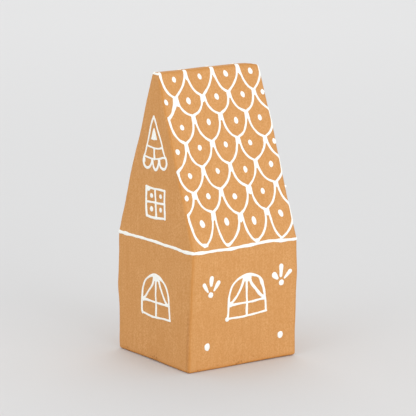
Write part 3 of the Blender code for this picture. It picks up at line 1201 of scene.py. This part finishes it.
@dataclass(frozen=True)
class Sprigs:
    """The two sprigs beside the long wall's window, and the two dabs under them."""

    bases: tuple[Dot, ...] = (Dot(15.1, 51.3, 3.9, 3.9), Dot(71.6, 51.45, 4.0, 4.0))
    petals: tuple[tuple[tuple[Spot, ...], tuple[float, ...]], ...] = (
        (((12.7, 53.6), (11.1, 56), (9.7, 58.4)), (1.3, 2.4, 3.1)),
        (((15.1, 58), (15.1, 60), (15.3, 62.4)), (2.2, 3, 3.5)),
        (((17.7, 54.2), (19.3, 56.6), (20.9, 58.9)), (1.5, 2.4, 3.1)),
        (((68.3, 55.05), (67.1, 56.45), (66.1, 57.55)), (2.2, 3.2, 3.6)),
        (((71.2, 56.25), (71.3, 59.25), (71.5, 62.85)), (2.1, 2.6, 3.3)),
        (((74.2, 54.35), (76.1, 56.45), (78, 58.35)), (1.5, 2.7, 3.4)),
    )
    low_dabs: tuple[Dot, ...] = (Dot(13.05, 16.1, 4, 5.1, 4), Dot(71.6, 15.9, 4.1, 4.7, -10))

    def dots(self) -> Drawing:
        """Every dab and petal."""
        strokes = tuple(Stroke(spots, widths) for spots, widths in self.petals)
        return Drawing(Side.EAST, Zone.WALL, strokes, self.bases + self.low_dabs)


@dataclass(frozen=True)
class EaveLine:
    """The one line right round the house at the eaves. It starts and ends behind, where its ends lap.

    Attributes:
        shape: The block.
        width: Its width, in millimetres.
        lumps: Where it is thicker: the side, how far across, and by how much.
        bows: Where it bows upwards: the side, how far across, over what length, and how high.
        start: Where it starts on the back, in millimetres from the corner.
        lap: How far its end runs past its start, in millimetres.
        waver: How far it rises and falls, in millimetres, and over what length.
    """

    shape: BlockShape
    width: float = 2.15
    lumps: tuple[tuple[Side, float, float], ...] = (
        (Side.FRONT, 1.5, 0.15),
        (Side.FRONT, 9.0, 0.5),
        (Side.FRONT, 79.0, 0.3),
        (Side.EAST, 5.0, 0.15),
        (Side.EAST, 30.0, 0.35),
        (Side.EAST, 72.0, 0.35),
        (Side.WEST, 20.0, 0.4),
        (Side.BACK, 60.0, 0.4),
    )
    bows: tuple[tuple[Side, float, float, float], ...] = (
        (Side.FRONT, 38.0, 34.0, 0.95),
        (Side.EAST, 20.0, 9.0, 0.45),
        (Side.EAST, 64.0, 10.0, 0.5),
        (Side.BACK, 45.0, 30.0, 0.6),
    )
    start: float = 30.0
    lap: float = 2.0
    waver: tuple[float, float] = (0.75, 17.0)

    def path(self, pen: IcingPen) -> tuple[list[Vector], list[float]]:
        """Walks round the house at the eaves.

        Args:
            pen: The pen, for the length of its steps.

        Returns:
            The points on the sharp block, and the width at each.
        """
        sides = [Side.BACK, Side.WEST, Side.FRONT, Side.EAST, Side.BACK]
        points, widths = [], []
        walked = 0.0
        for turn, side in enumerate(sides):
            span = self.shape.span(side) / MM
            first = self.start if turn == 0 else 0.0
            last = self.start + self.lap if turn == len(sides) - 1 else span
            for index in range(int((last - first) / pen.step)):
                across = first + index * pen.step
                walked += pen.step
                drift = noise.noise_vector(Vector((walked / self.waver[1], 7.3, 0.2)))
                fine = noise.noise_vector(Vector((walked / pen.wander, 2.1, 0.9)))
                rise = self.rise(side, across) + drift.x * self.waver[0] + fine.x * pen.unsteady[0]
                up = self.shape.wall_height + rise * MM
                points.append(self.shape.spot(side, Zone.WALL, across * MM - self.shape.swell, up))
                thick = 1 + fine.y * 2.4 * pen.unsteady[1] + self.lump(side, across)
                widths.append(self.width * thick * MM)
        return points, widths

    def lump(self, side: Side, across: float) -> float:
        """How much thicker the line is at a spot."""
        return sum(more * math.exp(-(((across - spot) / 2.6) ** 2)) for on, spot, more in self.lumps if on is side)

    def rise(self, side: Side, across: float) -> float:
        """How far the line bows upwards at a spot, in millimetres."""
        near = [bow[1:] for bow in self.bows if bow[0] is side]
        return sum(high * math.exp(-(((across - spot) / reach) ** 2)) for spot, reach, high in near)


@dataclass
class Icing:
    """All of the icing on the house, face by face."""

    pen: IcingPen
    finish: bpy.types.Material
    roof_grain: float = 0.3 * MM
    fine_grain: float = 0.24 * MM

    def spans(self, side: Side) -> float:
        """The width of a side of the plain block, in millimetres."""
        return (self.pen.shape.span(side) - 2 * self.pen.shape.swell) / MM

    def pair(self, first: Drawing, second: Side, seed: int) -> tuple[Drawing, Drawing]:
        """A drawing, and the same one done again on the side behind."""
        return first, first.again(second, self.spans(second), seed)

    def lay(self, name: str, drawings: list[Drawing], grain: float, seed: int, *nodes: str) -> None:
        """Lays, fuses and settles one piece of icing."""
        piece = self.pen.fuse(name, self.pen.draw(drawings, seed), grain)
        settle(piece, self.finish, Slot.ICING, *nodes)

    def build(self) -> None:
        """Builds every line and dab."""
        scales, small, spire, sprigs = RoofScales(), SquareWindow(), Spire(), Sprigs()
        for drawing in self.pair(scales.lines(), Side.WEST, 11):
            side = drawing.side.name.lower()
            self.lay(f"roof_lines_{side}", [drawing], self.roof_grain, 20, f"roof_scales_{side}")
        for drawing in self.pair(scales.dots(), Side.WEST, 11):
            self.lay(f"roof_dabs_{drawing.side.name.lower()}", [drawing], self.fine_grain, 30)
        for window, behind in ((FRONT_WINDOW, Side.BACK), (EAST_WINDOW, Side.WEST)):
            for drawing in self.pair(window.lines(), behind, 12):
                side = drawing.side.name.lower()
                self.lay(f"curtained_window_{side}", [drawing], self.fine_grain, 40, f"arched_window_{side}")
        for drawing in self.pair(small.lines(), Side.BACK, 13):
            side = drawing.side.name.lower()
            self.lay(f"small_window_{side}", [drawing], self.fine_grain, 50, f"square_window_{side}")
        for drawing in self.pair(spire.lines(), Side.BACK, 14):
            side = drawing.side.name.lower()
            self.lay(f"gable_spire_{side}", [drawing], self.fine_grain, 60, f"spire_{side}")
        panes = self.pair(small.dots(), Side.BACK, 13)
        tops = self.pair(spire.dots(), Side.BACK, 14)
        tips = self.pair(RidgeDab().lines(), Side.BACK, 16)
        for drawings in zip(panes, tops, tips):
            side = drawings[0].side.name.lower()
            self.lay(f"gable_dabs_{side}", list(drawings), self.fine_grain, 70)
        for drawing in self.pair(sprigs.dots(), Side.WEST, 15):
            self.lay(f"wall_sprigs_{drawing.side.name.lower()}", [drawing], self.fine_grain, 80)
        line = EaveLine(self.pen.shape)
        bead = self.pen.bead(self.pen.frames(*line.path(self.pen)))
        settle(self.pen.fuse("eave_bead", bead, self.fine_grain), self.finish, Slot.ICING, "eave_line")


# ---------------------------------------------------------------- the studio


@dataclass(frozen=True)
class Lamp:
    """One large soft lamp: the way from the house to it, its distance, side and power."""

    name: str
    azimuth: float
    elevation: float
    distance: float
    side: float
    power: float


@dataclass(frozen=True)
class Studio:
    """A plain pale floor, soft light and the camera."""

    azimuth: float = 53.51
    elevation: float = 11.89
    roll: float = 0.23
    distance: float = 1.750
    lens: float = 227.7
    target: tuple[float, float, float] = (0.2 * MM, 0.2 * MM, 98.5 * MM)
    floor_size: float = 14.0
    floor_colour: tuple[float, float, float, float] = (0.683, 0.684, 0.687, 1.0)
    sky: float = 0.89
    lamps: tuple[Lamp, ...] = (
        Lamp("key", 95.0, 4.0, 2.2, 1.6, 27.2),
        Lamp("front", 10.0, 6.0, 2.4, 1.6, 14.6),
        Lamp("behind", 233.0, 38.0, 2.4, 2.0, 10.0),
    )

    @staticmethod
    def way(azimuth: float, elevation: float) -> Vector:
        """The way from the house to a viewer at these angles."""
        turn, rise = math.radians(azimuth), math.radians(elevation)
        return Vector((math.sin(turn) * math.cos(rise), -math.cos(turn) * math.cos(rise), math.sin(rise)))

    def camera(self) -> None:
        """Sets up the camera."""
        back = self.way(self.azimuth, self.elevation)
        right = UP.cross(back).normalized()
        turned = Matrix((right, back.cross(right), back)).transposed().to_4x4()
        data = bpy.data.cameras.new("camera")
        data.lens = self.lens
        data.clip_end = 2 * self.floor_size
        camera = bpy.data.objects.new("camera", data)
        roll = Matrix.Rotation(math.radians(self.roll), 4, "Z")
        camera.matrix_world = Matrix.Translation(Vector(self.target) + back * self.distance) @ turned @ roll
        bpy.context.scene.collection.objects.link(camera)
        bpy.context.scene.camera = camera

    def lights(self) -> None:
        """Hangs the lamps and lights the sky."""
        for lamp in self.lamps:
            data = bpy.data.lights.new(lamp.name, "AREA")
            data.shape = "SQUARE"
            data.size = lamp.side
            data.energy = lamp.power
            light = bpy.data.objects.new(lamp.name, data)
            way = self.way(lamp.azimuth, lamp.elevation)
            light.rotation_mode = "QUATERNION"
            light.rotation_quaternion = way.to_track_quat("Z", "Y")
            light.location = Vector(self.target) + way * lamp.distance
            bpy.context.scene.collection.objects.link(light)
        world = bpy.data.worlds.new("studio_sky")
        world.use_nodes = True
        sky = world.node_tree.nodes["Background"]
        sky.inputs["Color"].default_value = (1.0, 1.0, 1.0, 1.0)
        sky.inputs["Strength"].default_value = self.sky
        bpy.context.scene.world = world
        bpy.context.scene.view_settings.view_transform = "Standard"

    def floor(self) -> None:
        """Lays the floor."""
        bm = bmesh.new()
        bmesh.ops.create_grid(bm, x_segments=8, y_segments=8, size=self.floor_size / 2)
        floor = new_piece("floor", bm)
        material = bpy.data.materials.new("floor")
        material.use_nodes = True
        shader = material.node_tree.nodes["Principled BSDF"]
        shader.inputs["Base Color"].default_value = self.floor_colour
        shader.inputs["Roughness"].default_value = 0.9
        shader.inputs["Specular IOR Level"].default_value = 0.1
        floor.data.materials.append(material)

    def build(self) -> None:
        """Sets up the whole studio."""
        self.camera()
        self.lights()
        self.floor()


def main() -> None:
    """Builds the house and its studio."""
    logging.basicConfig(level=logging.INFO, format="%(name)s: %(message)s")
    Studio().build()
    shape = BlockShape.from_frame()
    surface = WorkedSurface().build()
    block = HouseBlock(shape).build()
    settle(block, GingerbreadFinish().build(surface), Slot.GINGERBREAD, "house_block")
    Icing(IcingPen(shape), IcingFinish().build(surface)).build()


if __name__ == "__main__":
    main()
